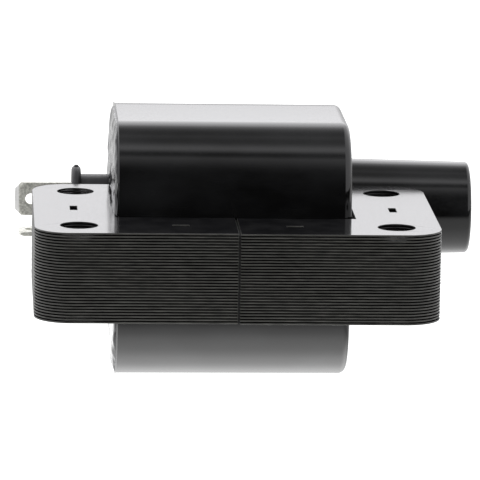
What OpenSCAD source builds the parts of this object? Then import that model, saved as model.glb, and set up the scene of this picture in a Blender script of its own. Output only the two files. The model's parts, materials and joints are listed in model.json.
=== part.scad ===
// Ignition coil with a closed laminated core and a potted, moulded case.
// Millimetres. +X points along the high-tension tower, +Y points from the bare leg
// of the core to the wound leg, and +Z is up. The origin is the centre of the four
// mounting holes, on the underside of the core.

/* [Core] */
// Length of the core, along X
core_l = 73.5; // [72:0.5:76]
// Width of the core, along Y
core_w = 49.3; // [48.5:0.1:50.5]
// Height of the lamination stack
core_h = 16.5; // [15.5:0.5:17.5]
// Width of the two long legs
leg_w = 15.65; // [15:0.05:16]
// Width of the two end yokes
yoke_w = 14.85; // [14.5:0.05:15.5]
// Radius of the core's outer corners
core_corner_r = 6.5; // [5:0.5:7]
// Diameter of the mounting holes, for M6 bolts
hole_d = 6.8; // [6.4:0.1:7]
// Distance between the mounting holes along X
hole_pitch_x = 57.3; // [56:0.1:58]
// Distance between the mounting holes along Y
hole_pitch_y = 34.2; // [33.5:0.1:34.5]
// Thickness of the spacers between the two halves of the core
spacer_t = 0.25; // [0.15:0.05:0.4]

/* [Case] */
// Height of the case
case_h = 47.8; // [47:0.2:50]
// Depth of the case, from its flat front wall to its round back
case_depth = 53.6; // [53:0.2:56]
// Height of the middle of the case above the middle of the core
case_rise = 0.55; // [0:0.05:0.8]
// Radius of the front corners of the case
case_front_r = 12; // [10:0.5:13]
// Wall of the case
case_wall = 2; // [1.6:0.1:2.2]
// Gap between the case and the window of the core, at the front and at each end
case_gap = 0.4; // [0.3:0.05:0.5]

/* [High-tension tower] */
// Outer diameter of the tower at its root
tower_root_d = 18.6; // [18:0.1:18.8]
// Outer diameter of the tower at its mouth
tower_tip_d = 17.4; // [16.8:0.1:17.6]
// Length of the tower, from the closed end of the case
tower_l = 25.5; // [24:0.1:30]
// Diameter of the socket for the spark plug lead
socket_d = 10; // [9.5:0.1:10.5]
// Depth of the socket
socket_depth = 14; // [12:0.5:15]
// Inner diameter of the brass contact cup
cup_d = 6.4; // [6:0.1:6.6]

/* [Low-tension terminals] */
// Width of the spade blades
blade_w = 6.3; // [6.2:0.1:6.4]
// Thickness of the spade blades
blade_t = 0.8; // [0.75:0.05:0.85]
// Reach of the blades from the open end of the case
blade_reach = 18.3; // [17.5:0.1:19]
// Diameter of the latch hole in each blade
latch_hole_d = 2.1; // [1.6:0.1:2.2]

/* [Windings] */
// Number of sections in the secondary winding
sections = 8; // [6:1:9]
// Number of layers in the primary winding
primary_layers = 3; // [2:1:3]
// Diameter of the primary wire
primary_wire_d = 0.64; // [0.56:0.02:0.66]

/* [Hidden] */
$fn = 96;
eps = 0.01;

// The window of the core, and the wound leg that runs through the case
window_x = core_l / 2 - yoke_w;
window_y = core_w / 2 - leg_w;
leg_y = (core_w - leg_w) / 2;
leg_z = core_h / 2;

// Interlocks pressed into the laminations
interlock_depth = 0.35;
yoke_interlock = [1.3, 4.2];
leg_interlock = [3, 1.3];
yoke_interlock_x = (window_x + core_l / 2) / 2;
leg_interlock_x = 10.3;
punch_mark_d = 4.3;
punch_mark_depth = 0.15;
punch_mark_x = -2.4;

// Case: open at x_mouth, closed at x_end
x_mouth = -window_x + case_gap;
x_end = window_x - case_gap - 0.25;
x_floor = x_end - case_wall;
case_front_y = -window_y + case_gap;
case_back_r = case_h / 2;
case_back_y = case_front_y + case_depth - case_back_r;
case_z = leg_z + case_rise;
tunnel_gap = 0.35;
tunnel_wall = 1.3;
tunnel_out = tunnel_gap + tunnel_wall;

// Tower and its contact
tower_y = 35;
tower_z = leg_z + 2.45;
x_tip = x_end + tower_l;
x_step = x_tip - socket_depth;
cup_wall = 0.8;
cup_floor = 1;
cup_out_d = cup_d + 2 * cup_wall;
tail_d = 2;
x_tail = x_floor - 1.8;

// Terminal carrier and blades
terminal_y = 34;
stem_z = leg_z + 2;
stem_w = 9.6;
stem_h = 13;
stem_r = 4.4;
stem_l = 5.8;
collar_w = 12.6;
collar_h = 16.2;
collar_r = 6;
collar_t = 1.75;
base_w = 13;
base_h = 15.6;
base_t = 1.2;
x_collar = x_mouth - stem_l - collar_t;
x_blade_tip = x_mouth - blade_reach;
x_base = x_mouth + 0.8;
tail_l = 0.7;
x_blade_tail = x_base + base_t + tail_l;
upper_blade_z = leg_z + 3.8;
lower_blade_z = leg_z - 2.5;
x_neck = x_collar + collar_t + 1.5;
latch_hole_x = x_blade_tip + 3.05;
blade_chamfer = 1.2;
shank_w = 4;
slot_gap = 0.05;
resin_x = x_mouth + 0.3;

// Coil pack: each distance is measured outwards from the surface of the wound leg
x_pack0 = x_mouth + 4.4;
x_pack1 = x_floor - 2;
flange_t = 1;
bobbin_in = tunnel_out + 0.25;
bobbin_out = bobbin_in + 0.9;
primary_out = bobbin_out + primary_layers * primary_wire_d;
sleeve_in = primary_out + 0.05;
sleeve_out = sleeve_in + 0.35;
former_in = sleeve_out + 0.05;
former_out = former_in + 0.9;
secondary_out = former_out + 2.7;
fin_out = secondary_out + 0.7;
fin_t = 0.9;
slot_l = (x_pack1 - x_pack0 - (sections + 1) * fin_t) / sections;
lead_d = 0.7;
bead_d = 0.9;

PIECES = [
    "core_half_left", "core_half_right", "core_spacer_front", "core_spacer_rear",
    "case_shell", "potting_resin", "terminal_carrier",
    "spade_terminal_upper", "spade_terminal_lower",
    "primary_bobbin", "primary_winding", "insulation_sleeve", "secondary_bobbin",
    "ht_contact_cup", "ht_lead", "primary_lead_feed", "primary_lead_switched",
    "secondary_ground_lead"
];

// Rectangle with round corners, centred
module round_rect(w, h, r) {
    square([w - 2 * r, h], center = true);
    square([w, h - 2 * r], center = true);
    for (sx = [-1, 1], sy = [-1, 1])
        translate([sx * (w / 2 - r), sy * (h / 2 - r)])
            circle(r = r);
}

// Extrudes a YZ outline from x0 to x1
module along_x(x0, x1) {
    translate([x0, 0, 0])
        rotate([90, 0, 90])
            linear_extrude(x1 - x0)
                children();
}

// Outline at distance d from the wound leg
module leg_outline(d) {
    translate([leg_y, leg_z])
        round_rect(leg_w + 2 * d, core_h + 2 * d, max(d, 0.3));
}

// Closed band round the wound leg, between two distances
module leg_band(x0, x1, d_in, d_out) {
    along_x(x0, x1)
        difference() {
            leg_outline(d_out);
            leg_outline(d_in);
        }
}

// Flat front with round corners, and a half-round back
module case_outline(inset) {
    front = case_front_y + inset;
    r = case_front_r - inset;
    half_h = case_h / 2 - inset;
    translate([0, case_z]) {
        translate([case_back_y, 0])
            circle(r = case_back_r - inset, $fn = 160);
        translate([front + r, -half_h])
            square([case_back_y - front - r, 2 * half_h]);
        translate([front, r - half_h])
            square([case_back_y - front, 2 * (half_h - r)]);
        for (sz = [-1, 1])
            translate([front + r, sz * (half_h - r)])
                circle(r = r);
    }
}

module core_plate_outline() {
    difference() {
        round_rect(core_l, core_w, core_corner_r);
        square([2 * window_x, 2 * window_y], center = true);
    }
}

module interlock(x, y, size, depth) {
    translate([x - size[0] / 2, y - size[1] / 2, core_h - depth])
        cube([size[0], size[1], depth + eps]);
    translate([x - size[0] / 2, y - size[1] / 2, -eps])
        cube([size[0], size[1], depth + eps]);
}

// One C-shaped stack: side is -1 for the mouth end of the case, 1 for the tower end
module core_half(side) {
    color([0.1, 0.1, 0.11])
        difference() {
            linear_extrude(core_h)
                intersection() {
                    core_plate_outline();
                    translate([side * (core_l / 4 + spacer_t / 4), 0])
                        square([core_l / 2 - spacer_t / 2, core_w + 2], center = true);
                }
            for (sy = [-1, 1])
                translate([side * hole_pitch_x / 2, sy * hole_pitch_y / 2, -1])
                    cylinder(d = hole_d, h = core_h + 2);
            interlock(side * yoke_interlock_x, 0, yoke_interlock, interlock_depth);
            for (sy = [-1, 1])
                interlock(side * leg_interlock_x, sy * leg_y, leg_interlock, interlock_depth);
            if (side < 0)
                translate([punch_mark_x, -leg_y, core_h - punch_mark_depth])
                    cylinder(d = punch_mark_d, h = 1);
        }
}

module core_half_left() {
    core_half(-1);
}

module core_half_right() {
    core_half(1);
}

// Pressboard spacer that sets the air gap in one leg
module core_spacer(y) {
    color([0.62, 0.5, 0.34])
        translate([0, y, leg_z])
            cube([spacer_t, leg_w - 0.6, core_h - 0.6], center = true);
}

// Cup with the tower on its closed end and a tunnel for the wound leg
module case_shell() {
    color([0.08, 0.08, 0.09])
        difference() {
            union() {
                difference() {
                    along_x(x_mouth, x_end)
                        case_outline(0);
                    along_x(x_mouth - 1, x_floor)
                        difference() {
                            case_outline(case_wall);
                            leg_outline(tunnel_out);
                        }
                }
                translate([x_floor, tower_y, tower_z])
                    rotate([0, 90, 0])
                        cylinder(
                            d1 = tower_root_d,
                            d2 = tower_tip_d,
                            h = x_tip - x_floor
                        );
            }
            along_x(x_mouth - 1, x_end + 1)
                leg_outline(tunnel_gap);
            translate([x_step, tower_y, tower_z])
                rotate([0, 90, 0])
                    cylinder(d = socket_d, h = socket_depth + 1);
            translate([x_floor - 1, tower_y, tower_z])
                rotate([0, 90, 0])
                    cylinder(d = cup_out_d, h = x_step - x_floor + 2);
        }
}

// Brass cup at the bottom of the socket, with a solder tail towards the winding
module ht_contact_cup() {
    color([0.75, 0.6, 0.3])
        translate([0, tower_y, tower_z])
            rotate([0, 90, 0]) {
                translate([0, 0, x_floor])
                    difference() {
                        cylinder(d = cup_out_d, h = x_step - x_floor);
                        translate([0, 0, cup_floor])
                            cylinder(d = cup_d, h = x_step - x_floor);
                    }
                translate([0, 0, x_tail])
                    cylinder(d = tail_d, h = x_floor - x_tail + eps);
            }
}

// Blade outline in its own plane: chamfered tip, full width, then a narrow shank
module blade_outline(grow) {
    half = blade_w / 2 + grow;
    shank = shank_w / 2 + grow;
    polygon([
        [x_blade_tip, -half + blade_chamfer],
        [x_blade_tip + blade_chamfer, -half],
        [x_neck, -half],
        [x_neck + 1.2, -shank],
        [x_blade_tail, -shank],
        [x_blade_tail, shank],
        [x_neck + 1.2, shank],
        [x_neck, half],
        [x_blade_tip + blade_chamfer, half],
        [x_blade_tip, half - blade_chamfer]
    ]);
}

module blade_plate(grow) {
    translate([0, 0, -blade_t / 2 - grow])
        linear_extrude(blade_t + 2 * grow)
            blade_outline(grow);
}

// Both blades, one upright and one flat
module place_upper_blade() {
    translate([0, terminal_y, upper_blade_z])
        rotate([90, 0, 0])
            children();
}

module place_lower_blade() {
    translate([0, terminal_y, lower_blade_z])
        children();
}

module spade_blade() {
    color([0.72, 0.72, 0.7])
        difference() {
            blade_plate(0);
            translate([latch_hole_x, 0, -blade_t])
                cylinder(d = latch_hole_d, h = 2 * blade_t);
        }
}

module spade_terminal_upper() {
    place_upper_blade()
        spade_blade();
}

module spade_terminal_lower() {
    place_lower_blade()
        spade_blade();
}

// Outside of the carrier: collar, stem and the base that anchors it in the resin
module carrier_body() {
    translate([0, terminal_y, stem_z]) {
        along_x(x_collar, x_base + base_t)
            round_rect(stem_w, stem_h, stem_r);
        along_x(x_collar, x_collar + collar_t)
            round_rect(collar_w, collar_h, collar_r);
        along_x(x_base, x_base + base_t)
            round_rect(base_w, base_h, 1);
        translate([x_collar + collar_t / 2, 0, collar_h / 2 - 0.3])
            cylinder(d = 0.9, h = 0.6);
    }
}

module terminal_carrier() {
    color([0.12, 0.12, 0.13])
        difference() {
            carrier_body();
            place_upper_blade()
                blade_plate(slot_gap);
            place_lower_blade()
                blade_plate(slot_gap);
        }
}

module primary_bobbin() {
    color([0.2, 0.2, 0.2]) {
        leg_band(x_pack0, x_pack1, bobbin_in, bobbin_out);
        leg_band(x_pack0, x_pack0 + flange_t, bobbin_out - eps, primary_out);
        leg_band(x_pack1 - flange_t, x_pack1, bobbin_out - eps, primary_out);
    }
}

// Copper layers, each one wire thick
module primary_winding() {
    color([0.72, 0.36, 0.16])
        for (layer = [0:primary_layers - 1])
            leg_band(
                x_pack0 + flange_t + 0.1,
                x_pack1 - flange_t - 0.1,
                bobbin_out + layer * primary_wire_d + 0.02,
                bobbin_out + (layer + 1) * primary_wire_d - 0.02
            );
}

module insulation_sleeve() {
    color([0.85, 0.75, 0.5])
        leg_band(x_pack0, x_pack1, sleeve_in, sleeve_out);
}

// Former with fins that divide the winding into sections
module secondary_bobbin() {
    color([0.9, 0.88, 0.8]) {
        leg_band(x_pack0, x_pack1, former_in, former_out);
        for (i = [0:sections])
            leg_band(fin_x(i), fin_x(i) + fin_t, former_out - eps, fin_out);
    }
}

function fin_x(i) = x_pack0 + i * (slot_l + fin_t);

// Fine wire in one section, from 1 at the terminal end to the last at the tower end
module secondary_winding(i) {
    color([0.6, 0.22, 0.1])
        leg_band(
            fin_x(i - 1) + fin_t + 0.05,
            fin_x(i) - 0.05,
            former_out + 0.02,
            secondary_out
        );
}

// Straight round bar between two points, longer by grow at each end
module bar(from, to, d, grow) {
    run = to - from;
    len = norm(run);
    translate(from)
        rotate([0, acos(run[2] / len), atan2(run[1], run[0])])
            translate([0, 0, -grow])
                cylinder(d = d, h = len + 2 * grow, $fn = 24);
}

// Lead with a solder bead at each end
module lead(from, to) {
    bar(from, to, lead_d, 0);
    for (p = [from, to])
        translate(p)
            sphere(d = bead_d, $fn = 24);
}

module lead_path(points) {
    for (i = [1:len(points) - 1])
        lead(points[i - 1], points[i]);
}

// Points of each lead: from its winding, past the fins, to its terminal
function winding_back(d) = leg_y + leg_w / 2 + d;

ht_lead_path = [
    [fin_x(sections) - slot_l / 2, winding_back(secondary_out) + bead_d / 2, tower_z],
    [x_tail, tower_y, tower_z]
];
feed_path = [
    [x_pack0 - lead_d / 2, winding_back(primary_out) - lead_d, upper_blade_z + 3],
    [x_pack0 - lead_d / 2, winding_back(fin_out) - 2, upper_blade_z + 3],
    [x_blade_tail + lead_d / 2, terminal_y, upper_blade_z + 1]
];
switched_path = [
    [x_pack0 - lead_d / 2, winding_back(primary_out) - lead_d, lower_blade_z - 3],
    [x_pack0 - lead_d / 2, winding_back(fin_out) - 2, lower_blade_z - 3],
    [x_blade_tail + lead_d / 2, terminal_y - 1, lower_blade_z]
];
ground_path = [
    [fin_x(0) + fin_t + slot_l / 2, winding_back(secondary_out) + lead_d / 2, leg_z + 0.6],
    [fin_x(0) + fin_t + slot_l / 2, winding_back(fin_out) + lead_d, leg_z + 0.6],
    [x_pack0 - lead_d, winding_back(fin_out) + lead_d, leg_z + 0.6],
    [x_blade_tail + lead_d / 2, terminal_y + 1, lower_blade_z]
];

// Short straight link, brazed to the tail of the contact cup
module ht_lead() {
    color([0.75, 0.4, 0.2])
        bar(ht_lead_path[0], ht_lead_path[1], lead_d, 0);
}

module primary_lead_feed() {
    color([0.72, 0.36, 0.16])
        lead_path(feed_path);
}

module primary_lead_switched() {
    color([0.72, 0.36, 0.16])
        lead_path(switched_path);
}

module secondary_ground_lead() {
    color([0.6, 0.22, 0.1])
        lead_path(ground_path);
}

// Epoxy that fills the case round the coil pack, the leads and the carrier's base
module potting_resin() {
    color([0.16, 0.16, 0.17])
        difference() {
            union() {
                difference() {
                    along_x(resin_x, x_floor)
                        case_outline(case_wall);
                    along_x(x_pack0, x_pack1)
                        leg_outline(fin_out);
                }
                for (i = [1:sections])
                    leg_band(fin_x(i - 1) + fin_t, fin_x(i), secondary_out + 0.02, fin_out + 0.2);
            }
            along_x(resin_x - 1, x_floor + 1)
                leg_outline(tunnel_out);
            carrier_body();
            translate([x_base + base_t, terminal_y, upper_blade_z])
                cube([2 * tail_l, blade_t, shank_w], center = true);
            translate([x_base + base_t, terminal_y, lower_blade_z])
                cube([2 * tail_l, shank_w, blade_t], center = true);
            translate([x_tail, tower_y, tower_z])
                rotate([0, 90, 0])
                    cylinder(d = tail_d, h = x_floor - x_tail + 1);
            for (path = [ht_lead_path, feed_path, switched_path, ground_path])
                for (i = [1:len(path) - 1])
                    bar(path[i - 1], path[i], bead_d, bead_d / 2);
        }
}

core_half_left();
core_half_right();
core_spacer(-leg_y);  // core_spacer_front
core_spacer(leg_y);  // core_spacer_rear
case_shell();
potting_resin();
terminal_carrier();
spade_terminal_upper();
spade_terminal_lower();
primary_bobbin();
primary_winding();
insulation_sleeve();
secondary_bobbin();
ht_contact_cup();
ht_lead();
primary_lead_feed();
primary_lead_switched();
secondary_ground_lead();
for (i = [1:sections])
    secondary_winding(i);
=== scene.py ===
"""Looks of the ignition coil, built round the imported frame. Metres, in the frame's own axes."""
import json
import math

import bmesh
import bpy
from mathutils import Matrix, Vector, noise


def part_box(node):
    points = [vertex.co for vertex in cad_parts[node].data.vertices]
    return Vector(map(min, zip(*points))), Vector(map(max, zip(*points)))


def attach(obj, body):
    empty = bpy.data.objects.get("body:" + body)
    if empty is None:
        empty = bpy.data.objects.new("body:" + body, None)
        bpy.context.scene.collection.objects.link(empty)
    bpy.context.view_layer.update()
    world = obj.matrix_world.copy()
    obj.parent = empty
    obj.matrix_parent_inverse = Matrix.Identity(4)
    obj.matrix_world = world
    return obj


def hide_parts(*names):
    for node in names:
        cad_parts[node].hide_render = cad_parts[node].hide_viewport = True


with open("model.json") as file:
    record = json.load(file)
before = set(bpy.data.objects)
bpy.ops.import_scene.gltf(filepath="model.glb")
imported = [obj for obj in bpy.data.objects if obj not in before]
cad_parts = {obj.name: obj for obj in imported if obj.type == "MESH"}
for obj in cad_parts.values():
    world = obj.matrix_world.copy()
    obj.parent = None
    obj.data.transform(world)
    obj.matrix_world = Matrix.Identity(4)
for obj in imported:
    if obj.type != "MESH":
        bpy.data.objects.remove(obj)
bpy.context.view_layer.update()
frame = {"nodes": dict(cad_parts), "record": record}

MM = 0.001
BODY = "root"

# ---------------------------------------------------------------- sizes from the frame
_, core_left_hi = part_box("core_half_left")
core_right_lo, core_right_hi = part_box("core_half_right")
case_lo, case_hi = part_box("case_shell")
carrier_lo, carrier_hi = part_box("terminal_carrier")
upper_lo, upper_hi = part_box("spade_terminal_upper")
lower_lo, lower_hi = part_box("spade_terminal_lower")
cup_lo, cup_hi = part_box("ht_contact_cup")
ht_mount = next(m for m in frame["record"]["mounts"] if m["name"] == "ht_socket")
bolt_mount = next(m for m in frame["record"]["mounts"] if m["name"] == "mounting_holes")

# Core
CORE_TOP = core_left_hi.z
CORE_X = core_right_hi.x
CORE_Y = core_left_hi.y
CORNER_R = 6.5 * MM
LEG_W = 15.65 * MM
YOKE_W = 14.85 * MM
WINDOW_X = CORE_X - YOKE_W
WINDOW_Y = CORE_Y - LEG_W
LEG_Y = CORE_Y - LEG_W / 2
LEG_Z = CORE_TOP / 2
SEAM_EXTRA = 0.06 * MM
SEAM_X = core_right_lo.x + SEAM_EXTRA
HOLE_R = bolt_mount["dims"]["hole_r_mm"] * MM
HOLE_X = bolt_mount["dims"]["spacing_x_mm"] * MM / 2
HOLE_Y = bolt_mount["dims"]["spacing_y_mm"] * MM / 2
HOLE_WALL = 0.1 * MM
HOLE_FADE = 0.3 * MM
SHEETS = 31
SHEET_T = 0.3 * MM
SHEET_PITCH = (CORE_TOP - SHEET_T) / (SHEETS - 1)
SHEET_EDGE_R = 0.08 * MM
SHEET_SHIFT = 0.03 * MM
SHEET_LIFT = 0.004 * MM
LEFT_STACK_LIFT = 0.1 * MM
YOKE_SLOT = (1.3 * MM, 4.2 * MM)
LEG_SLOT = (3.0 * MM, 1.3 * MM)
LEG_SLOT_X = 10.3 * MM

# Case
X_MOUTH = case_lo.x
X_END = WINDOW_X - 0.65 * MM
WALL = 2 * MM
CASE_Z = (case_lo.z + case_hi.z) / 2
CASE_HALF = (case_hi.z - case_lo.z) / 2
FRONT_Y = case_lo.y
FRONT_R = 12 * MM
BACK_Y = case_hi.y - CASE_HALF
DRAFT = 0.4 * MM
END_EDGE_R = 1.4 * MM
END_STEPS = 8
MOUTH_FLARE = 0.3 * MM
MOUTH_STEPS = 3
TUNNEL_GAP = 0.35 * MM
TUNNEL_OUT = 1.65 * MM
LEG_EDGE_R = 0.3 * MM
OVERSHOOT = 1 * MM

# Tower
X_TIP = case_hi.x
TOWER_Y = ht_mount["pos_m"][1]
TOWER_Z = ht_mount["pos_m"][2]
TOWER_ROOT_R = 9.3 * MM
TOWER_TIP_R = 8.7 * MM
TOWER_SUNK = 1.2 * MM
TOWER_EDGE_R = 0.8 * MM
SOCKET_CHAMFER = 0.6 * MM
SOCKET_R = ht_mount["dims"]["r_mm"] * MM
X_STEP = cup_hi.x
CUP_R = (cup_hi.z - cup_lo.z) / 2
CUP_TAIL = 1.8 * MM
CUP_INNER_R = 3.2 * MM
CUP_TAIL_R = 1 * MM
CUP_LIP_R = 0.15 * MM
CUP_FLOOR_T = 1 * MM
AXIS_R = 0.2 * MM
X_FLOOR = cup_lo.x + CUP_TAIL

# Resin
RESIN_GRID = 0.4 * MM
RESIN_MARGIN = 0.2 * MM
RESIN_ROOT = 1.6 * MM
RESIN_BULGE = 0.6 * MM
RESIN_FALL = 0.9 * MM
RESIN_RIM = 1.3 * MM
RESIN_CLIMB = 0.15 * MM
RESIN_CLIMB_REACH = 0.6 * MM
# Height, size and seed of each set of waves
RESIN_WAVES = ((0.25 * MM, 5 * MM, 0.0), (0.2 * MM, 2.4 * MM, 3.1))
RESIN_AT_CORE = 0.25 * MM
RESIN_CORE_GAP = 0.1 * MM
RESIN_SLOPE = 1.5
RESIN_THIN = 0.02 * MM
LIP_INSET = 0.8 * MM
LIP_WANDER = 0.7 * MM
STEM_MASK_R = 1.5 * MM
# Share, size and seed of each set of waves
LIP_WAVES = ((1.0, 3.2 * MM, 7.7), (0.5, 1.3 * MM, 1.9))

# Terminals
STEM_Y = (carrier_lo.y + carrier_hi.y) / 2
STEM_Z = LEG_Z + 2 * MM
STEM_W = 9.6 * MM
STEM_H = 13 * MM
STEM_R = 4.4 * MM
COLLAR_W = 12.6 * MM
COLLAR_H = 16.2 * MM
COLLAR_R = 6 * MM
COLLAR_T = 1.75 * MM
BASE_W = 13 * MM
BASE_H = 15.6 * MM
BASE_T = 1.2 * MM
BASE_R = 1 * MM
CARRIER_EDGE_R = 0.15 * MM
STEM_SUNK = 0.2 * MM
PIP_R = 0.45 * MM
PIP_TOP = 0.3 * MM
PIP_EDGE_R = 0.3 * MM
PIP_SUNK = 0.4 * MM
X_COLLAR = carrier_lo.x
X_BASE = X_MOUTH + 0.8 * MM
X_BLADE_TIP = upper_lo.x
X_BLADE_TAIL = upper_hi.x
BLADE_W = upper_hi.z - upper_lo.z
BLADE_T = upper_hi.y - upper_lo.y
UPPER_Z = (upper_lo.z + upper_hi.z) / 2
LOWER_Z = (lower_lo.z + lower_hi.z) / 2
BLADE_CHAMFER = 1.2 * MM
BLADE_EDGE = 0.06 * MM
COIN = 0.85 * MM
LATCH_R = 1.05 * MM
LATCH_LIP = 0.05 * MM
X_LATCH = X_BLADE_TIP + 3.05 * MM
X_NECK = X_COLLAR + COLLAR_T + 1.5 * MM
SHANK_W = 4 * MM
SLOT_GAP = 0.05 * MM


# ---------------------------------------------------------------- mesh helpers
def link(name, data):
    obj = bpy.data.objects.new(name, data)
    bpy.context.scene.collection.objects.link(obj)
    return obj


def mesh_from(name, verts, faces):
    mesh = bpy.data.meshes.new(name)
    mesh.from_pydata([tuple(v) for v in verts], [], faces)
    mesh.update()
    return link(name, mesh)


def tidy_mesh(obj, merge=1e-7):
    """Merges doubles and turns the faces of a closed shape outwards."""
    bm = bmesh.new()
    bm.from_mesh(obj.data)
    bmesh.ops.remove_doubles(bm, verts=bm.verts, dist=merge)
    bmesh.ops.dissolve_degenerate(bm, edges=bm.edges, dist=merge)
    bmesh.ops.recalc_face_normals(bm, faces=bm.faces)
    bm.to_mesh(obj.data)
    bm.free()
    return obj


def bake(obj):
    """Replaces the object's mesh by its evaluated one and drops its modifiers."""
    bpy.context.view_layer.update()
    graph = bpy.context.evaluated_depsgraph_get()
    mesh = bpy.data.meshes.new_from_object(obj.evaluated_get(graph), depsgraph=graph)
    if obj.type == "MESH":
        obj.modifiers.clear()
        obj.data = mesh
        return obj
    solid = link(obj.name + "_mesh", mesh)
    bpy.data.objects.remove(obj)
    return solid


def boolean(obj, other, operation, keep=False):
    """Joins, cuts or trims obj with other, and deletes other unless keep is set."""
    mod = obj.modifiers.new("cut", "BOOLEAN")
    mod.operation = operation
    mod.solver = "EXACT"
    mod.object = other
    bake(obj)
    if not keep:
        bpy.data.objects.remove(other)
    return tidy_mesh(obj)


def soft_shading(obj, angle):
    """Smooth shading with hard edges past the angle, and flat faces that stay flat."""
    mesh = obj.data
    mesh.shade_smooth()
    mesh.set_sharp_from_angle(angle=math.radians(angle))
    mod = obj.modifiers.new("normals", "WEIGHTED_NORMAL")
    mod.keep_sharp = True
    mod.weight = 80
    return bake(obj)


def finish_piece(obj, name, slot, node):
    """Names and paints a piece that stands in for a CAD node."""
    obj.name = name
    obj.data.name = name
    obj.data.materials.clear()
    obj.data.materials.append(MATS[slot])
    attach(obj, BODY)
    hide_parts(node)
    return obj


def loft(name, rings):
    """Skins rings of equal length and caps both ends."""
    count = len(rings[0])
    verts = [p for ring in rings for p in ring]
    faces = []
    for i in range(len(rings) - 1):
        a = i * count
        b = a + count
        for k in range(count):
            n = (k + 1) % count
            faces.append((a + k, a + n, b + n, b + k))
    faces.append(tuple(range(count)))
    last = (len(rings) - 1) * count
    faces.append(tuple(last + k for k in reversed(range(count))))
    return tidy_mesh(mesh_from(name, verts, faces))


def arc(cu, cv, r, start, end, steps):
    """Points (u, v) on an arc, with angles in degrees from +u towards +v."""
    out = []
    for i in range(steps + 1):
        a = math.radians(start + (end - start) * i / steps)
        out.append((cu + r * math.cos(a), cv + r * math.sin(a)))
    return out


def round_rect(cy, cz, w, h, r, steps):
    """(y, z) outline of a rectangle with round corners."""
    y = w / 2 - r
    z = h / 2 - r
    return (
        arc(cy + y, cz - z, r, -90, 0, steps)
        + arc(cy + y, cz + z, r, 0, 90, steps)
        + arc(cy - y, cz + z, r, 90, 180, steps)
        + arc(cy - y, cz - z, r, 180, 270, steps)
    )


def at_x(x, outline):
    """Ring of points at x from a (y, z) outline."""
    return [Vector((x, y, z)) for y, z in outline]


def prism(name, x0, x1, outline):
    """Straight block from x0 to x1 with a (y, z) outline."""
    return loft(name, [at_x(x0, outline), at_x(x1, outline)])


def lathe(name, profile, cy, cz, steps=72):
    """Turns (x, radius) points about the line along X through (cy, cz)."""
    rings = [at_x(x, arc(cy, cz, r, 0, 360, steps)[:-1]) for x, r in profile]
    return loft(name, rings)


def round_over(x, r, edge, steps=5):
    """(x, radius) points of a rounded outer edge, on the profile of a turned shape that ends at x."""
    out = []
    for i in range(steps + 1):
        a = math.radians(90 * i / steps)
        out.append((x - edge * (1 - math.sin(a)), r - edge * (1 - math.cos(a))))
    return out


# ---------------------------------------------------------------- geometry node helpers
def socket_id(tree, name):
    return next(i.identifier for i in tree.interface.items_tree if i.name == name)


def new_tree(name, inputs):
    """An empty tree with a Geometry input and output and the named inputs."""
    tree = bpy.data.node_groups.new(name, "GeometryNodeTree")
    tree.interface.new_socket("Geometry", in_out="INPUT", socket_type="NodeSocketGeometry")
    for label, kind in inputs:
        tree.interface.new_socket(label, in_out="INPUT", socket_type="NodeSocket" + kind)
    tree.interface.new_socket("Geometry", in_out="OUTPUT", socket_type="NodeSocketGeometry")
    return tree, tree.nodes.new("NodeGroupInput"), tree.nodes.new("NodeGroupOutput")


def grow_tree(obj, tree, values):
    """Runs the tree on the object with the named values, and bakes the result."""
    mod = obj.modifiers.new(tree.name, "NODES")
    mod.node_group = tree
    for label, value in values.items():
        mod[socket_id(tree, label)] = value
    return bake(obj)


def lamination_tree():
    """Stacks copies of one sheet along Z, each shifted a hair sideways."""
    tree, given, result = new_tree(
        "lamination_stack",
        [
            ("Sheets", "Int"),
            ("Pitch", "Vector"),
            ("Shift", "Vector"),
            ("Seed", "Int"),
            ("Varnish", "Material"),
        ],
    )
    line = tree.nodes.new("GeometryNodeMeshLine")
    line.mode = "OFFSET"
    place = tree.nodes.new("GeometryNodeInstanceOnPoints")
    shift = tree.nodes.new("FunctionNodeRandomValue")
    shift.data_type = "FLOAT_VECTOR"
    back = tree.nodes.new("ShaderNodeVectorMath")
    back.operation = "SCALE"
    back.inputs["Scale"].default_value = -1.0
    move = tree.nodes.new("GeometryNodeTranslateInstances")
    real = tree.nodes.new("GeometryNodeRealizeInstances")
    paint = tree.nodes.new("GeometryNodeSetMaterial")
    wire = tree.links.new
    wire(given.outputs["Sheets"], line.inputs["Count"])
    wire(given.outputs["Pitch"], line.inputs["Offset"])
    wire(line.outputs["Mesh"], place.inputs["Points"])
    wire(given.outputs["Geometry"], place.inputs["Instance"])
    wire(given.outputs["Shift"], back.inputs[0])
    wire(back.outputs[0], shift.inputs["Min"])
    wire(given.outputs["Shift"], shift.inputs["Max"])
    wire(given.outputs["Seed"], shift.inputs["Seed"])
    wire(place.outputs["Instances"], move.inputs["Instances"])
    wire(shift.outputs[0], move.inputs["Translation"])
    wire(move.outputs["Instances"], real.inputs["Geometry"])
    wire(real.outputs["Geometry"], paint.inputs["Geometry"])
    wire(given.outputs["Varnish"], paint.inputs["Material"])
    wire(paint.outputs["Geometry"], result.inputs["Geometry"])
    return tree


# ---------------------------------------------------------------- materials
IOR = 1.5


def math_node(nodes, wire, operation, first, second=None):
    node = nodes.new("ShaderNodeMath")
    node.operation = operation
    for socket, value in zip(node.inputs, (first, second)):
        if isinstance(value, (int, float)):
            socket.default_value = value
        elif value is not None:
            wire(value, socket)
    return node.outputs[0]


def blend_levels(nodes, wire, fac, first, second):
    """first where fac is 0, second where it is 1."""
    other = math_node(nodes, wire, "SUBTRACT", 1.0, fac)
    near = math_node(nodes, wire, "MULTIPLY", other, first)
    far = math_node(nodes, wire, "MULTIPLY", fac, second)
    return math_node(nodes, wire, "ADD", near, far)


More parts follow.
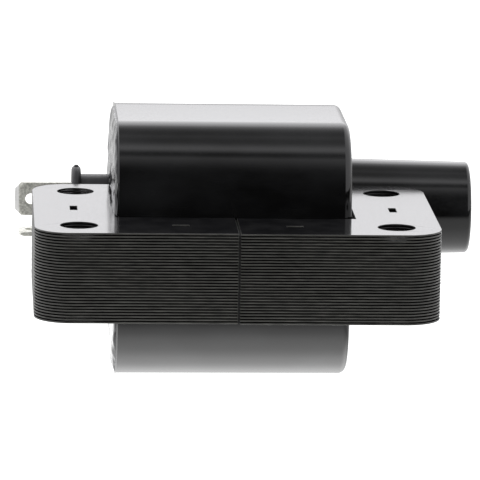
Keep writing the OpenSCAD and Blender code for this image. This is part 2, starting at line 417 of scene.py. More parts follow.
def material(name, color, rough, metallic=0.0):
    """A Principled material with its constants on its own sockets, for the functions below to vary."""
    mat = bpy.data.materials.new(name)
    mat.use_nodes = True
    shader = mat.node_tree.nodes["Principled BSDF"]
    shader.inputs["Base Color"].default_value = (*color, 1)
    shader.inputs["Roughness"].default_value = rough
    shader.inputs["Metallic"].default_value = metallic
    shader.inputs["IOR"].default_value = IOR
    return mat


def add_noise(mat, scale, detail=3.0, stretch=(1, 1, 1)):
    """Noise on Object coordinates, with scale in features per metre."""
    nodes, wire = mat.node_tree.nodes, mat.node_tree.links.new
    coords = nodes.new("ShaderNodeTexCoord")
    mapping = nodes.new("ShaderNodeMapping")
    mapping.inputs["Scale"].default_value = stretch
    tex = nodes.new("ShaderNodeTexNoise")
    tex.inputs["Scale"].default_value = scale
    tex.inputs["Detail"].default_value = detail
    wire(coords.outputs["Object"], mapping.inputs["Vector"])
    wire(mapping.outputs["Vector"], tex.inputs["Vector"])
    return tex


def map_to(mat, source, low, high, start=0.35, stop=0.65):
    """low where the source is at start, high where it is at stop."""
    nodes, wire = mat.node_tree.nodes, mat.node_tree.links.new
    node = nodes.new("ShaderNodeMapRange")
    node.inputs["From Min"].default_value = start
    node.inputs["From Max"].default_value = stop
    node.inputs["To Min"].default_value = low
    node.inputs["To Max"].default_value = high
    wire(source, node.inputs["Value"])
    return node.outputs["Result"]


def shade(mat, source, dark, light, start=0.35, stop=0.65):
    """dark where the source is at start, light where it is at stop."""
    nodes, wire = mat.node_tree.nodes, mat.node_tree.links.new
    ramp = nodes.new("ShaderNodeValToRGB")
    ramp.color_ramp.elements[0].position = start
    ramp.color_ramp.elements[0].color = (*dark, 1)
    ramp.color_ramp.elements[1].position = stop
    ramp.color_ramp.elements[1].color = (*light, 1)
    wire(source, ramp.inputs["Fac"])
    return ramp.outputs["Color"]


def vary_color(mat, source, dark, light, start=0.35, stop=0.65):
    shader = mat.node_tree.nodes["Principled BSDF"]
    mat.node_tree.links.new(shade(mat, source, dark, light, start, stop), shader.inputs["Base Color"])


def vary_rough(mat, source, low, high):
    shader = mat.node_tree.nodes["Principled BSDF"]
    mat.node_tree.links.new(map_to(mat, source, low, high), shader.inputs["Roughness"])


def add_bump(mat, source, depth, strength):
    nodes, wire = mat.node_tree.nodes, mat.node_tree.links.new
    shader = nodes["Principled BSDF"]
    bump = nodes.new("ShaderNodeBump")
    bump.inputs["Strength"].default_value = strength
    bump.inputs["Distance"].default_value = depth
    wire(source, bump.inputs["Height"])
    wire(bump.outputs["Normal"], shader.inputs["Normal"])


def hole_shade_mask(mat):
    """The share of painted shade: 1 on the walls of the mounting holes and 0 elsewhere."""
    nodes, wire = mat.node_tree.nodes, mat.node_tree.links.new
    place = nodes.new("ShaderNodeSeparateXYZ")
    wire(nodes.new("ShaderNodeTexCoord").outputs["Object"], place.inputs["Vector"])
    squares = []
    for axis, centre in (("X", HOLE_X), ("Y", HOLE_Y)):
        away = math_node(nodes, wire, "ABSOLUTE", place.outputs[axis])
        offset = math_node(nodes, wire, "SUBTRACT", away, centre)
        squares.append(math_node(nodes, wire, "MULTIPLY", offset, offset))
    radius = math_node(nodes, wire, "SQRT", math_node(nodes, wire, "ADD", *squares))
    return map_to(mat, radius, 1.0, 0.0, HOLE_R + HOLE_WALL, HOLE_R + HOLE_FADE)


def varnished_steel():
    """Smooth varnish on the flat sheets, and thinner, rougher varnish on their cut edges. The walls of the
    mounting holes are painted near black as painted shade.
    """
    mat = material("varnished_steel", (0.012, 0.012, 0.013), 0.12)
    nodes, wire = mat.node_tree.nodes, mat.node_tree.links.new
    facing = nodes.new("ShaderNodeSeparateXYZ")
    wire(nodes.new("ShaderNodeNewGeometry").outputs["Normal"], facing.inputs["Vector"])
    upright = math_node(nodes, wire, "ABSOLUTE", facing.outputs["Z"])
    flat_face = map_to(mat, upright, 0.0, 1.0, 0.95, 0.985)
    blotch = add_noise(mat, 260, 4).outputs["Fac"]
    tone = nodes.new("ShaderNodeMix")
    tone.data_type = "RGBA"
    wire(flat_face, tone.inputs[0])
    streak = add_noise(mat, 3000, 4, (0.12, 0.3, 1)).outputs["Fac"]
    edge = nodes.new("ShaderNodeMix")
    edge.data_type = "RGBA"
    # painted shade: the walls of the mounting holes are painted near black, as shade in the bores
    wire(hole_shade_mask(mat), edge.inputs[0])
    wire(shade(mat, streak, (0.032, 0.032, 0.028), (0.076, 0.076, 0.068)), edge.inputs[6])
    edge.inputs[7].default_value = (0.004, 0.004, 0.004, 1)
    wire(edge.outputs[2], tone.inputs[6])
    wire(shade(mat, blotch, (0.009, 0.009, 0.010), (0.018, 0.018, 0.019)), tone.inputs[7])
    shader = nodes["Principled BSDF"]
    wire(tone.outputs[2], shader.inputs["Base Color"])
    fine = add_noise(mat, 2600, 5).outputs["Fac"]
    edge_rough = map_to(mat, fine, 0.35, 0.5)
    face_rough = map_to(mat, fine, 0.09, 0.16)
    wire(blend_levels(nodes, wire, flat_face, edge_rough, face_rough), shader.inputs["Roughness"])
    add_bump(mat, add_noise(mat, 900, 3).outputs["Fac"], depth=0.000004, strength=0.5)
    return mat


def moulded_gloss():
    mat = material("moulded_gloss", (0.010, 0.010, 0.011), 0.1)
    flow = add_noise(mat, 90, 4, (0.5, 1, 1))
    vary_color(mat, flow.outputs["Fac"], (0.003, 0.003, 0.003), (0.015, 0.0155, 0.016), 0.4, 0.7)
    fine = add_noise(mat, 1800, 4)
    vary_rough(mat, fine.outputs["Fac"], 0.06, 0.13)
    add_bump(mat, add_noise(mat, 420, 2).outputs["Fac"], depth=0.00001, strength=0.35)
    return mat


def cast_epoxy():
    mat = material("cast_epoxy", (0.014, 0.014, 0.015), 0.07)
    cloud = add_noise(mat, 300, 5)
    vary_color(mat, cloud.outputs["Fac"], (0.010, 0.010, 0.011), (0.03, 0.03, 0.032))
    vary_rough(mat, add_noise(mat, 900, 4).outputs["Fac"], 0.04, 0.12)
    add_bump(mat, add_noise(mat, 420, 3).outputs["Fac"], depth=0.0002, strength=0.8)
    return mat


def satin_nylon():
    mat = material("satin_nylon", (0.016, 0.016, 0.018), 0.45)
    vary_color(mat, add_noise(mat, 500, 3).outputs["Fac"], (0.013, 0.013, 0.015), (0.022, 0.022, 0.024))
    grain = add_noise(mat, 5000, 4)
    vary_rough(mat, grain.outputs["Fac"], 0.38, 0.55)
    add_bump(mat, grain.outputs["Fac"], depth=0.000012, strength=0.5)
    return mat


def tinned_brass():
    """Dull mottled tin, with a painted highlight on the coined tips of the blades."""
    mat = material("tinned_brass", (0.7, 0.7, 0.66), 0.4, metallic=0.55)
    nodes, wire = mat.node_tree.nodes, mat.node_tree.links.new
    shader = nodes["Principled BSDF"]
    mottle = add_noise(mat, 2400, 6)
    coords = nodes.new("ShaderNodeTexCoord")
    place = nodes.new("ShaderNodeSeparateXYZ")
    wire(coords.outputs["Object"], place.inputs["Vector"])
    # painted highlight: the coined tip of each blade is painted lighter, where its coined faces catch the
    # light
    full_highlight_end = X_BLADE_TIP + COIN * 0.8
    highlight_fade_end = X_BLADE_TIP + COIN * 1.05
    tip_highlight = map_to(mat, place.outputs["X"], 1.0, 0.0, full_highlight_end, highlight_fade_end)
    tone = nodes.new("ShaderNodeMix")
    tone.data_type = "RGBA"
    wire(tip_highlight, tone.inputs[0])
    wire(shade(mat, mottle.outputs["Fac"], (0.46, 0.46, 0.41), (0.9, 0.9, 0.83), 0.32, 0.68), tone.inputs[6])
    wire(shade(mat, mottle.outputs["Fac"], (0.9, 0.9, 0.88), (1.0, 1.0, 0.98), 0.32, 0.68), tone.inputs[7])
    wire(tone.outputs[2], shader.inputs["Base Color"])
    vary_rough(mat, add_noise(mat, 3000, 5).outputs["Fac"], 0.3, 0.55)
    add_bump(mat, add_noise(mat, 3000, 3, (0.12, 1, 1)).outputs["Fac"], depth=0.000015, strength=0.6)
    return mat


def bright_brass():
    mat = material("bright_brass", (0.78, 0.56, 0.22), 0.22, metallic=1.0)
    turned = add_noise(mat, 4000, 3, (1, 0.1, 0.1))
    vary_color(mat, add_noise(mat, 600, 4).outputs["Fac"], (0.62, 0.42, 0.16), (0.85, 0.63, 0.28))
    vary_rough(mat, turned.outputs["Fac"], 0.16, 0.32)
    add_bump(mat, turned.outputs["Fac"], depth=0.000006, strength=0.5)
    return mat


def enamelled_copper(name, dark, light):
    mat = material(name, light, 0.25, metallic=1.0)
    vary_color(mat, add_noise(mat, 900, 4).outputs["Fac"], dark, light)
    vary_rough(mat, add_noise(mat, 4000, 3).outputs["Fac"], 0.18, 0.34)
    return mat


def pressed_paper(name, dark, light):
    mat = material(name, light, 0.7)
    fibre = add_noise(mat, 2500, 6, (1, 0.3, 1))
    vary_color(mat, fibre.outputs["Fac"], dark, light)
    vary_rough(mat, fibre.outputs["Fac"], 0.55, 0.8)
    add_bump(mat, fibre.outputs["Fac"], depth=0.00002, strength=0.6)
    return mat


def moulded_plastic(name, dark, light):
    mat = material(name, light, 0.42)
    vary_color(mat, add_noise(mat, 400, 3).outputs["Fac"], dark, light)
    vary_rough(mat, add_noise(mat, 3000, 3).outputs["Fac"], 0.34, 0.5)
    return mat


MATS = {
    "core_steel": varnished_steel(),
    "case_plastic": moulded_gloss(),
    "epoxy": cast_epoxy(),
    "carrier_plastic": satin_nylon(),
    "tinned_brass": tinned_brass(),
    "brass": bright_brass(),
    "primary_copper": enamelled_copper("primary_copper", (0.5, 0.17, 0.05), (0.72, 0.3, 0.11)),
    "secondary_copper": enamelled_copper("secondary_copper", (0.3, 0.07, 0.025), (0.48, 0.14, 0.05)),
    # painted shade: the pressboard is painted near black to stand for the shade in the seam between the two
    # stacks
    "pressboard": pressed_paper("pressboard", (0.002, 0.002, 0.002), (0.005, 0.004, 0.004)),
    "insulation_paper": pressed_paper("insulation_paper", (0.5, 0.38, 0.2), (0.66, 0.54, 0.32)),
    "bobbin_plastic": moulded_plastic("bobbin_plastic", (0.02, 0.02, 0.02), (0.035, 0.035, 0.035)),
    "former_plastic": moulded_plastic("former_plastic", (0.6, 0.56, 0.45), (0.7, 0.67, 0.57)),
}


# ---------------------------------------------------------------- core
def c_outline(side):
    """Corners of one C-shaped sheet, with its round outer corners. side is -1 or 1."""
    corner = CORNER_R
    x, y = CORE_X - SHEET_SHIFT, CORE_Y - SHEET_SHIFT
    pts = [(SEAM_X, -y)]
    pts += arc(x - corner, -y + corner, corner, -90, 0, 14)
    pts += arc(x - corner, y - corner, corner, 0, 90, 14)
    pts += [(SEAM_X, y), (SEAM_X, WINDOW_Y), (WINDOW_X, WINDOW_Y)]
    pts += [(WINDOW_X, -WINDOW_Y), (SEAM_X, -WINDOW_Y)]
    return [(side * px, py) for px, py in pts]


def circle_points(cx, cy, r, steps=44):
    return arc(cx, cy, r, 0, 360, steps)[:-1]


def slot_points(cx, cy, w, h):
    return [
        (cx - w / 2, cy - h / 2),
        (cx + w / 2, cy - h / 2),
        (cx + w / 2, cy + h / 2),
        (cx - w / 2, cy + h / 2),
    ]


def sheet(name, side, slots, z=0.0):
    """One lamination with its underside at z: a filled outline with holes and slightly rolled edges."""
    curve = bpy.data.curves.new(name, "CURVE")
    curve.dimensions = "2D"
    curve.fill_mode = "BOTH"
    curve.extrude = SHEET_T / 2 - SHEET_EDGE_R
    curve.bevel_depth = SHEET_EDGE_R
    curve.bevel_resolution = 1
    curve.offset = -SHEET_EDGE_R
    loops = [c_outline(side)]
    for sy in (-1, 1):
        loops.append(circle_points(side * HOLE_X, sy * HOLE_Y, HOLE_R))
    loops += slots
    for loop in loops:
        spline = curve.splines.new("POLY")
        spline.points.add(len(loop) - 1)
        for point, (px, py) in zip(spline.points, loop):
            point.co = (px, py, 0, 1)
        spline.use_cyclic_u = True
    solid = tidy_mesh(bake(link(name, curve)))
    solid.data.transform(Matrix.Translation((0, 0, z + SHEET_T / 2)))
    return solid


def join(objects, name):
    """One mesh with every object's geometry."""
    bm = bmesh.new()
    for obj in objects:
        bm.from_mesh(obj.data)
        bpy.data.objects.remove(obj)
    mesh = bpy.data.meshes.new(name)
    bm.to_mesh(mesh)
    bm.free()
    return link(name, mesh)


def interlocks(side):
    slots = [slot_points(side * (WINDOW_X + CORE_X) / 2, 0, *YOKE_SLOT)]
    for sy in (-1, 1):
        slots.append(slot_points(side * LEG_SLOT_X, sy * LEG_Y, *LEG_SLOT))
    return slots


def build_core_half(side, name, lift, seed, tree):
    """Middle sheets from the tree, and a top and a bottom sheet with open interlocks."""
    middle = sheet("middle_sheet", side, [], SHEET_PITCH)
    values = {
        "Sheets": SHEETS - 2,
        "Pitch": (0, 0, SHEET_PITCH),
        "Shift": (SHEET_SHIFT, SHEET_SHIFT, SHEET_LIFT),
        "Seed": seed,
        "Varnish": MATS["core_steel"],
    }
    middle = grow_tree(middle, tree, values)
    bottom = sheet("bottom_sheet", side, interlocks(side))
    top = sheet("top_sheet", side, interlocks(side), CORE_TOP - SHEET_T)
    stack = join([middle, bottom, top], name)
    stack.data.transform(Matrix.Translation((0, 0, lift)))
    soft_shading(stack, 60)
    return finish_piece(stack, name + "_stack", "core_steel", name)


def build_spacer(node):
    """Pressboard that fills the gap between the two stacks in one leg, painted near black as painted shade
    in the seam.
    """
    low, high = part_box(node)
    outline = [(low.y, low.z), (high.y, low.z), (high.y, high.z), (low.y, high.z)]
    board = prism(node + "_board", -SEAM_X, SEAM_X, outline)
    return finish_piece(board, node + "_board", "pressboard", node)


def build_core():
    tree = lamination_tree()
    build_core_half(-1, "core_half_left", LEFT_STACK_LIFT, seed=3, tree=tree)
    build_core_half(1, "core_half_right", 0.0, seed=8, tree=tree)
    build_spacer("core_spacer_front")
    build_spacer("core_spacer_rear")


# ---------------------------------------------------------------- case
def case_half(x):
    """Half height of the case at x. The case narrows towards its closed end."""
    return CASE_HALF - DRAFT * (x - X_MOUTH) / (X_END - X_MOUTH)


def case_ring(x, inset, corner_steps=14, back_steps=56):
    """D-shaped ring of the case at x, moved inwards by inset."""
    half = case_half(x) - inset
    front = FRONT_Y + inset
    r = FRONT_R - inset
    return at_x(
        x,
        arc(BACK_Y, CASE_Z, half, -90, 90, back_steps)
        + arc(front + r, CASE_Z + half - r, r, 90, 180, corner_steps)
        + arc(front + r, CASE_Z - half + r, r, 180, 270, corner_steps),
    )


def leg_ring(x, d, steps=5):
    """Ring at distance d from the wound leg."""
    w = LEG_W + 2 * d
    h = CORE_TOP + 2 * d
    return at_x(x, round_rect(LEG_Y, LEG_Z, w, h, max(d, LEG_EDGE_R), steps))


def build_case():
    """Cup with a rounded closed end, the tower on it and the tunnel for the wound leg."""
    rings = []
    for i in reversed(range(MOUTH_STEPS + 1)):
        inset = MOUTH_FLARE * (1 - math.sin(math.radians(90 * i / MOUTH_STEPS)))
        rings.append(case_ring(X_MOUTH + inset, inset))
    for i in range(END_STEPS + 1):
        a = math.radians(90 * i / END_STEPS)
        x = X_END - END_EDGE_R * (1 - math.sin(a))
        rings.append(case_ring(x, END_EDGE_R * (1 - math.cos(a))))
    shell = loft("case_shell_body", rings)
    tower_profile = [(X_END - TOWER_SUNK, TOWER_ROOT_R)]
    tower_profile += round_over(X_TIP, TOWER_TIP_R, TOWER_EDGE_R, 8)
    shell = boolean(shell, lathe("tower", tower_profile, TOWER_Y, TOWER_Z, 96), "UNION")
    cavity = loft("cavity", [case_ring(X_MOUTH - OVERSHOOT, WALL), case_ring(X_FLOOR, WALL)])
    sleeve_ends = (X_MOUTH - 2 * OVERSHOOT, X_END)
    sleeve = loft("tunnel_wall", [leg_ring(x, TUNNEL_OUT) for x in sleeve_ends])
    cavity = boolean(cavity, sleeve, "DIFFERENCE")
    shell = boolean(shell, cavity, "DIFFERENCE")
    bore_ends = (X_MOUTH - 2 * OVERSHOOT, X_END + OVERSHOOT)
    bore = loft("tunnel", [leg_ring(x, TUNNEL_GAP) for x in bore_ends])
    shell = boolean(shell, bore, "DIFFERENCE")
    socket_profile = [
        (X_FLOOR - OVERSHOOT, CUP_R),
        (X_STEP, CUP_R),
        (X_STEP, SOCKET_R),
        (X_TIP - SOCKET_CHAMFER, SOCKET_R),
        (X_TIP + SOCKET_CHAMFER, SOCKET_R + 2 * SOCKET_CHAMFER),
    ]
    shell = boolean(shell, lathe("socket", socket_profile, TOWER_Y, TOWER_Z, 72), "DIFFERENCE")
    soft_shading(shell, 30)
    return finish_piece(shell, "case_moulding", "case_plastic", "case_shell")


# ---------------------------------------------------------------- potting resin
def ripple(y, z, size, seed):
    """Smooth noise over the mouth, from about -1 to 1, with waves of the given size."""
    return noise.noise(Vector((seed, y / size + 2.3 * seed, z / size - seed)))


def mouth_distance(y, z):
    """Distance inwards from the inner wall of the case at its mouth."""
    half = CASE_HALF - WALL
    front = FRONT_Y + WALL
    r = FRONT_R - WALL
    dz = abs(z - CASE_Z)
    if y > BACK_Y:
        return half - math.hypot(y - BACK_Y, dz)
    if y < front + r and dz > half - r:
        return r - math.hypot(y - front - r, dz - (half - r))
    return min(half - dz, y - front)


def box_distance(y, z, cy, cz, w, h):
    """Distance outwards from a rectangle."""
    dy = abs(y - cy) - w / 2
    dz = abs(z - cz) - h / 2
    if dy > 0 and dz > 0:
        return math.hypot(dy, dz)
    return max(dy, dz)


def resin_bulge(y, z):
    """How far the resin stands out past the mouth. It leans on the core where the yoke is in the way."""
    edge = max(mouth_distance(y, z) + RESIN_RIM, 0)
    stem = max(box_distance(y, z, STEM_Y, STEM_Z, STEM_W, STEM_H), 0)
    bulge = RESIN_BULGE * (1 - math.exp(-edge / RESIN_FALL))
    bulge += RESIN_CLIMB * math.exp(-stem / RESIN_CLIMB_REACH)
    for height, size, seed in RESIN_WAVES:
        bulge += height * ripple(y, z, size, seed)
    core = box_distance(y, z, 0, LEG_Z, 2 * CORE_Y, CORE_TOP)
    room = RESIN_AT_CORE + max(core - RESIN_CORE_GAP, 0) * RESIN_SLOPE
    return max(min(bulge, room), RESIN_THIN)


def resin_lip(x):
    """Ragged outline of the resin on the rim of the mouth."""
    ring = case_ring(x, LIP_INSET)
    out = []
    for p in ring:
        inward = Vector((0, BACK_Y - p.y if p.y > BACK_Y else 0, CASE_Z - p.z)).normalized()
        wander = sum(share * ripple(p.y, p.z, size, seed) for share, size, seed in LIP_WAVES)
        out.append(p + inward * LIP_WANDER * wander)
    return out


def cad_copy(node):
    """Closed copy of a CAD node's mesh."""
    mesh = frame["nodes"][node].data.copy()
    return tidy_mesh(link(node + "_copy", mesh), 1e-6)


def build_resin(case):
    """The cast block: its face is wavy, and it runs over the rim of the mouth."""
    y0, y1 = FRONT_Y - RESIN_MARGIN, case_hi.y + RESIN_MARGIN
    z0, z1 = case_lo.z - RESIN_MARGIN, case_hi.z + RESIN_MARGIN
    ny = round((y1 - y0) / RESIN_GRID)
    nz = round((z1 - z0) / RESIN_GRID)
    verts = []
    for j in range(nz + 1):
        for i in range(ny + 1):
            y = y0 + (y1 - y0) * i / ny
            z = z0 + (z1 - z0) * j / nz
            verts.append((X_MOUTH - resin_bulge(y, z), y, z))
    back = len(verts)
    verts += [(X_MOUTH + RESIN_ROOT, v[1], v[2]) for v in verts]
    faces = []
    row = ny + 1
    for j in range(nz):
        for i in range(ny):
            a = j * row + i
            faces.append((a, a + row, a + row + 1, a + 1))
            faces.append((back + a, back + a + 1, back + a + row + 1, back + a + row))
    rim = list(range(row)) + [row * j + ny for j in range(1, nz + 1)]
    rim += [row * nz + i for i in range(ny - 1, -1, -1)] + [row * j for j in range(nz - 1, 0, -1)]
    for k, a in enumerate(rim):
        b = rim[(k + 1) % len(rim)]
        faces.append((a, b, back + b, back + a))
    slab = tidy_mesh(mesh_from("resin_slab", verts, faces))
    ends = (X_MOUTH - 3 * OVERSHOOT, X_MOUTH + 3 * OVERSHOOT)
    mask = loft("resin_mask", [resin_lip(x) for x in ends])
    slab = boolean(slab, mask, "INTERSECT")
    tunnel = loft("tunnel_mask", [leg_ring(x, TUNNEL_OUT) for x in ends])
    slab = boolean(slab, tunnel, "DIFFERENCE")
    stem = prism("stem_mask", *ends, round_rect(STEM_Y, STEM_Z, STEM_W, STEM_H, STEM_MASK_R, 8))
    slab = boolean(slab, stem, "DIFFERENCE")
    slab = boolean(slab, case, "DIFFERENCE", keep=True)
    block = boolean(cad_copy("potting_resin"), slab, "UNION")
    soft_shading(block, 40)
    return finish_piece(block, "resin_block", "epoxy", "potting_resin")


# ---------------------------------------------------------------- terminals
def round_block(name, x0, x1, w, h, r, edge, steps=5):
    """Block along X on the carrier's axis, with rounded corners and rounded ends."""
    rings = []
    for i in range(steps + 1):
        a = math.radians(90 * i / steps)
        inset = edge * (1 - math.sin(a))
        x = x0 + edge * (1 - math.cos(a))
        outline = round_rect(STEM_Y, STEM_Z, w - 2 * inset, h - 2 * inset, r - inset, 14)
        rings.append(at_x(x, outline))
    far = [[Vector((x0 + x1 - p.x, p.y, p.z)) for p in ring] for ring in reversed(rings)]
    return loft(name, rings + far)


def blade_outline(tip_in, edge_in):
    """(x, across) points of a blade: chamfered tip, full width, then the shank."""
    chamfer = BLADE_CHAMFER
    half = BLADE_W / 2 - edge_in
    shank = SHANK_W / 2 - edge_in
    side = [
        (X_BLADE_TIP + tip_in, half - chamfer),
        (X_BLADE_TIP + chamfer + 0.6 * tip_in, half),
        (X_NECK - edge_in, half),
        (X_NECK + chamfer - edge_in, shank),
        (X_BLADE_TAIL - edge_in, shank),
    ]
    return side + [(x, -v) for x, v in reversed(side)]


def blade_solid(name, place, coin=0.0, grow=0.0):
    """Blade made of slices through its thickness. The tip is coined thinner."""
    edge = BLADE_EDGE
    half = BLADE_T / 2 + grow
    slices = [(-half, coin + edge, edge - grow), (-half + edge, coin * 0.9, -grow)]
    slices += [(-half * 0.45, 0.0, -grow), (half * 0.45, 0.0, -grow)]
    slices += [(half - edge, coin * 0.9, -grow), (half, coin + edge, edge - grow)]
    rings = []
    for depth, tip_in, edge_in in slices:
        rings.append([place(x, v, depth) for x, v in blade_outline(tip_in - grow, edge_in)])
    return loft(name, rings)


def upright(x, across, depth):
    return Vector((x, STEM_Y + depth, UPPER_Z + across))


def flat(x, across, depth):
    return Vector((x, STEM_Y + across, LOWER_Z + depth))


def build_blade(node, place):
    """Spade blade with its round latch hole."""
    blade = blade_solid(node + "_blade", place, coin=COIN)
    half = BLADE_T / 2
    wide = LATCH_R + LATCH_LIP
    profile = [(-half - LATCH_LIP, wide), (-half + LATCH_LIP, LATCH_R)]
    profile += [(half - LATCH_LIP, LATCH_R), (half + LATCH_LIP, wide)]
    rings = []
    for depth, r in profile:
        rings.append([place(X_LATCH + u, v, depth) for u, v in circle_points(0, 0, r, 36)])
    blade = boolean(blade, loft("latch_hole", rings), "DIFFERENCE")
    soft_shading(blade, 25)
    return finish_piece(blade, node + "_blade", "tinned_brass", node)


def build_carrier():
    """Moulded stem with a collar outside the case and a flange inside the resin."""
    x_stem = X_COLLAR + STEM_SUNK
    x_end = X_BASE + BASE_T
    body = round_block("stem", x_stem, x_end, STEM_W, STEM_H, STEM_R, CARRIER_EDGE_R)
    x_back = X_COLLAR + COLLAR_T
    collar = round_block("collar", X_COLLAR, x_back, COLLAR_W, COLLAR_H, COLLAR_R, 0.85 * COLLAR_T / 2, 8)
    body = boolean(body, collar, "UNION")
    base = round_block("base", X_BASE, x_end, BASE_W, BASE_H, BASE_R, CARRIER_EDGE_R)
    body = boolean(body, base, "UNION")
    pip_profile = [(-PIP_SUNK, PIP_R)] + round_over(PIP_TOP, PIP_R, PIP_EDGE_R)
    pip = lathe("pip", pip_profile, 0, 0, 24)
    pip.data.transform(Matrix.Rotation(math.radians(-90), 4, "Y"))
    pip.data.transform(Matrix.Translation((X_COLLAR + COLLAR_T / 2, STEM_Y, STEM_Z + COLLAR_H / 2)))
    body = boolean(body, tidy_mesh(pip), "UNION")
    for place in (upright, flat):
        body = boolean(body, blade_solid("slot", place, grow=SLOT_GAP), "DIFFERENCE")
    soft_shading(body, 32)
    return finish_piece(body, "carrier_moulding", "carrier_plastic", "terminal_carrier")


def build_contact_cup():
    """Turned brass cup with a solder tail."""
    lip = CUP_LIP_R
    profile = [(cup_lo.x, CUP_TAIL_R - lip), (cup_lo.x + lip, CUP_TAIL_R), (X_FLOOR, CUP_TAIL_R)]
    profile += [(X_FLOOR, CUP_R - lip), (X_FLOOR + lip, CUP_R), (X_STEP - lip, CUP_R)]
    profile += [(X_STEP, CUP_R - lip), (X_STEP, CUP_INNER_R + 2 * lip), (X_STEP - 2 * lip, CUP_INNER_R)]
    profile += [(X_FLOOR + CUP_FLOOR_T, CUP_INNER_R), (X_FLOOR + CUP_FLOOR_T, AXIS_R)]
    cup = soft_shading(lathe("contact_cup", profile, TOWER_Y, TOWER_Z, 64), 30)
    return finish_piece(cup, "contact_cup", "brass", "ht_contact_cup")


# ---------------------------------------------------------------- pieces that the resin hides
def paint_hidden_pieces():
    """CAD pieces that keep their own shape and take a finish from their slot."""
    for part in frame["record"]["subparts"]:
        mesh = frame["nodes"][part["node"]].data
        mesh.materials.clear()
        mesh.materials.append(MATS[part["material_slot"]])


# ---------------------------------------------------------------- studio
def ramp_over(nodes, wire, value, stops, span):
    """Levels over a value: stops are (value, level), and span is the value's low and high end."""
    low, high = span
    peak = max(level for _, level in stops)
    scaled = nodes.new("ShaderNodeMapRange")
    scaled.inputs["From Min"].default_value = low
    scaled.inputs["From Max"].default_value = high
    wire(value, scaled.inputs["Value"])
    ramp = nodes.new("ShaderNodeValToRGB")
    elements = ramp.color_ramp.elements
    while len(elements) < len(stops):
        elements.new(0.5)
    for element, (at, level) in zip(elements, stops):
        element.position = (at - low) / (high - low)
        element.color = (level / peak, level / peak, level / peak, 1)
    wire(scaled.outputs["Result"], ramp.inputs["Fac"])
    return math_node(nodes, wire, "MULTIPLY", ramp.outputs["Color"], peak)


# Radiance of the surround over the angle in degrees from the back horizon, over the zenith,
# to the front horizon: a tall bright backdrop, a dim ceiling, two long strips and a dark front
SURROUND = [
    (0, 0.7), (8, 1.4), (10.5, 2.15), (20, 2.2), (34, 2.05), (39, 1.7), (43, 1.08), (48, 0.77),
    (54, 0.45), (62, 0.31), (68, 0.31), (75, 0.45), (84, 0.36), (90, 0.45), (95, 0.75), (99, 1.1),
    (103, 1.32), (106, 1.15), (109, 0.69), (113, 0.22), (117, 0.22), (123, 0.68), (129, 0.48),
    (135, 0.27), (142, 0.1), (150, 0.04), (180, 0.02),
]
SIDE_BLEND = [(0.15, 0.0), (0.35, 1.0)]
SIDE_LEVEL = 1.3
BELOW_HORIZON = 0.03
BACKDROP_TINT = (0.985, 0.98, 1.0, 1)
BACKDROP_SEEN = 1.0
FLOOR_SEEN = 1.5
FLOOR_NEAR = -0.09
FLOOR_FAR = 6.0
FLOOR_SIDE = 3.0
# Radiance of the floor over its distance behind the origin, in metres
FLOOR_LEVEL = [
    (-0.09, 0.02), (-0.075, 0.15), (-0.055, 0.5), (-0.038, 0.8), (0.005, 0.95), (0.025, 1.5), (0.045, 1.8),
    (0.065, 1.3), (0.1, 0.95), (0.2, 0.85),
]
# Extra radiance of the lit patch of floor under the case, over the same distance, and its share
# over the distance to either side
PATCH_LEVEL = [
    (-0.09, 0.0), (-0.06, 0.05), (-0.038, 0.3), (-0.024, 0.8), (-0.016, 1.6), (-0.01, 2.0), (-0.006, 2.8),
    (-0.002, 2.0), (0.001, 0.4), (0.006, 0.3), (0.08, 0.0),
]
PATCH_SHARE = [(0.024, 1.0), (0.042, 0.0)]
FLOOR_SPAN = (FLOOR_NEAR, 0.2)
PATCH_SPAN = (FLOOR_NEAR, 0.08)
PATCH_SIDE_SPAN = (0.0, 0.1)
# Camera: angles in degrees, distances in metres, and lens and sensor in millimetres
CAMERA_YAW = 3.205
CAMERA_PITCH = 10.845
CAMERA_ROLL = 0.922
CAMERA_DISTANCE = 0.8931
AIM_RIGHT = 1.322 * MM
AIM_UP = -5.618 * MM
CAMERA_LENS = 364.8
CAMERA_SENSOR = 36
CAMERA_CLIP = 10


def build_floor():
    """Pale glowing floor under the case, which ends a little in front of the core."""
    corners = [
        (-FLOOR_SIDE, FLOOR_NEAR),
        (FLOOR_SIDE, FLOOR_NEAR),
        (FLOOR_SIDE, FLOOR_FAR),
        (-FLOOR_SIDE, FLOOR_FAR),
    ]
    floor = mesh_from("floor", [(x, y, case_lo.z) for x, y in corners], [(0, 1, 2, 3)])
    mat = bpy.data.materials.new("floor_glow")
    mat.use_nodes = True
    nodes, wire = mat.node_tree.nodes, mat.node_tree.links.new
    nodes.clear()
    coords = nodes.new("ShaderNodeTexCoord")
    split = nodes.new("ShaderNodeSeparateXYZ")
    wire(coords.outputs["Object"], split.inputs["Vector"])
    level = ramp_over(nodes, wire, split.outputs["Y"], FLOOR_LEVEL, FLOOR_SPAN)
    patch = ramp_over(nodes, wire, split.outputs["Y"], PATCH_LEVEL, PATCH_SPAN)
    aside = math_node(nodes, wire, "ABSOLUTE", split.outputs["X"])
    share = ramp_over(nodes, wire, aside, PATCH_SHARE, PATCH_SIDE_SPAN)
    level = math_node(nodes, wire, "ADD", level, math_node(nodes, wire, "MULTIPLY", patch, share))
    seen = nodes.new("ShaderNodeLightPath").outputs["Is Camera Ray"]
    light = nodes.new("ShaderNodeEmission")
    wire(blend_levels(nodes, wire, seen, level, FLOOR_SEEN), light.inputs["Strength"])
    wire(light.outputs["Emission"], nodes.new("ShaderNodeOutputMaterial").inputs["Surface"])
    floor.data.materials.append(mat)


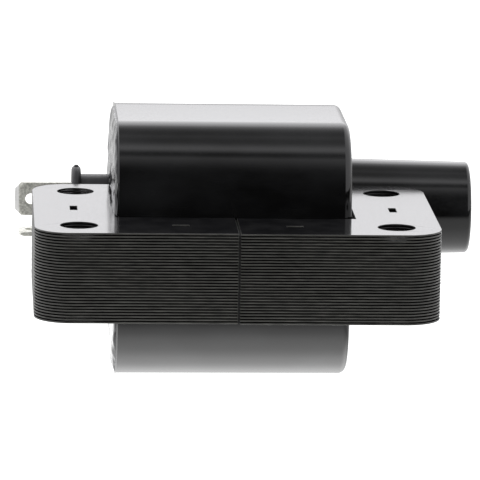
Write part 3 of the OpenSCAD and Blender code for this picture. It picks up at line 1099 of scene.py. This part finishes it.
def build_studio():
    """A graded surround that the gloss black case mirrors. The camera itself sees it plain."""
    build_floor()
    world = bpy.data.worlds.new("studio")
    bpy.context.scene.world = world
    world.use_nodes = True
    nodes, wire = world.node_tree.nodes, world.node_tree.links.new
    coords = nodes.new("ShaderNodeTexCoord")
    split = nodes.new("ShaderNodeSeparateXYZ")
    wire(coords.outputs["Generated"], split.inputs["Vector"])
    turn = math_node(nodes, wire, "ARCTAN2", split.outputs["Z"], split.outputs["Y"])
    level = ramp_over(nodes, wire, turn, [(math.radians(a), v) for a, v in SURROUND], (0.0, math.pi))
    aside = math_node(nodes, wire, "ABSOLUTE", split.outputs["X"])
    side = ramp_over(nodes, wire, aside, SIDE_BLEND, (0.0, 1.0))
    level = blend_levels(nodes, wire, side, level, SIDE_LEVEL)
    above = math_node(nodes, wire, "GREATER_THAN", split.outputs["Z"], 0.0)
    level = blend_levels(nodes, wire, above, BELOW_HORIZON, level)
    seen = nodes.new("ShaderNodeLightPath").outputs["Is Camera Ray"]
    background = nodes["Background"]
    wire(blend_levels(nodes, wire, seen, level, BACKDROP_SEEN), background.inputs["Strength"])
    background.inputs["Color"].default_value = BACKDROP_TINT
    bpy.context.scene.view_settings.view_transform = "Standard"


def build_camera():
    """Long lens, a little above the core and nearly square to its front leg."""
    yaw = math.radians(CAMERA_YAW)
    pitch = math.radians(CAMERA_PITCH)
    roll = math.radians(CAMERA_ROLL)
    ahead = math.cos(pitch)
    forward = Vector((math.sin(yaw) * ahead, math.cos(yaw) * ahead, -math.sin(pitch)))
    right = Vector((math.cos(yaw), -math.sin(yaw), 0))
    up = right.cross(forward)
    aim = right * AIM_RIGHT + up * AIM_UP + Vector((0, 0, CORE_TOP))
    right_rolled = right * math.cos(roll) + up * math.sin(roll)
    up_rolled = up * math.cos(roll) - right * math.sin(roll)
    turn = Matrix((right_rolled, up_rolled, -forward)).transposed()
    data = bpy.data.cameras.new("camera")
    data.lens = CAMERA_LENS
    data.sensor_width = CAMERA_SENSOR
    data.clip_end = CAMERA_CLIP
    camera = link("camera", data)
    camera.matrix_world = Matrix.Translation(aim - forward * CAMERA_DISTANCE) @ turn.to_4x4()
    bpy.context.scene.camera = camera


paint_hidden_pieces()
build_core()
build_resin(build_case())
build_carrier()
build_blade("spade_terminal_upper", upright)
build_blade("spade_terminal_lower", flat)
build_contact_cup()
build_studio()
build_camera()
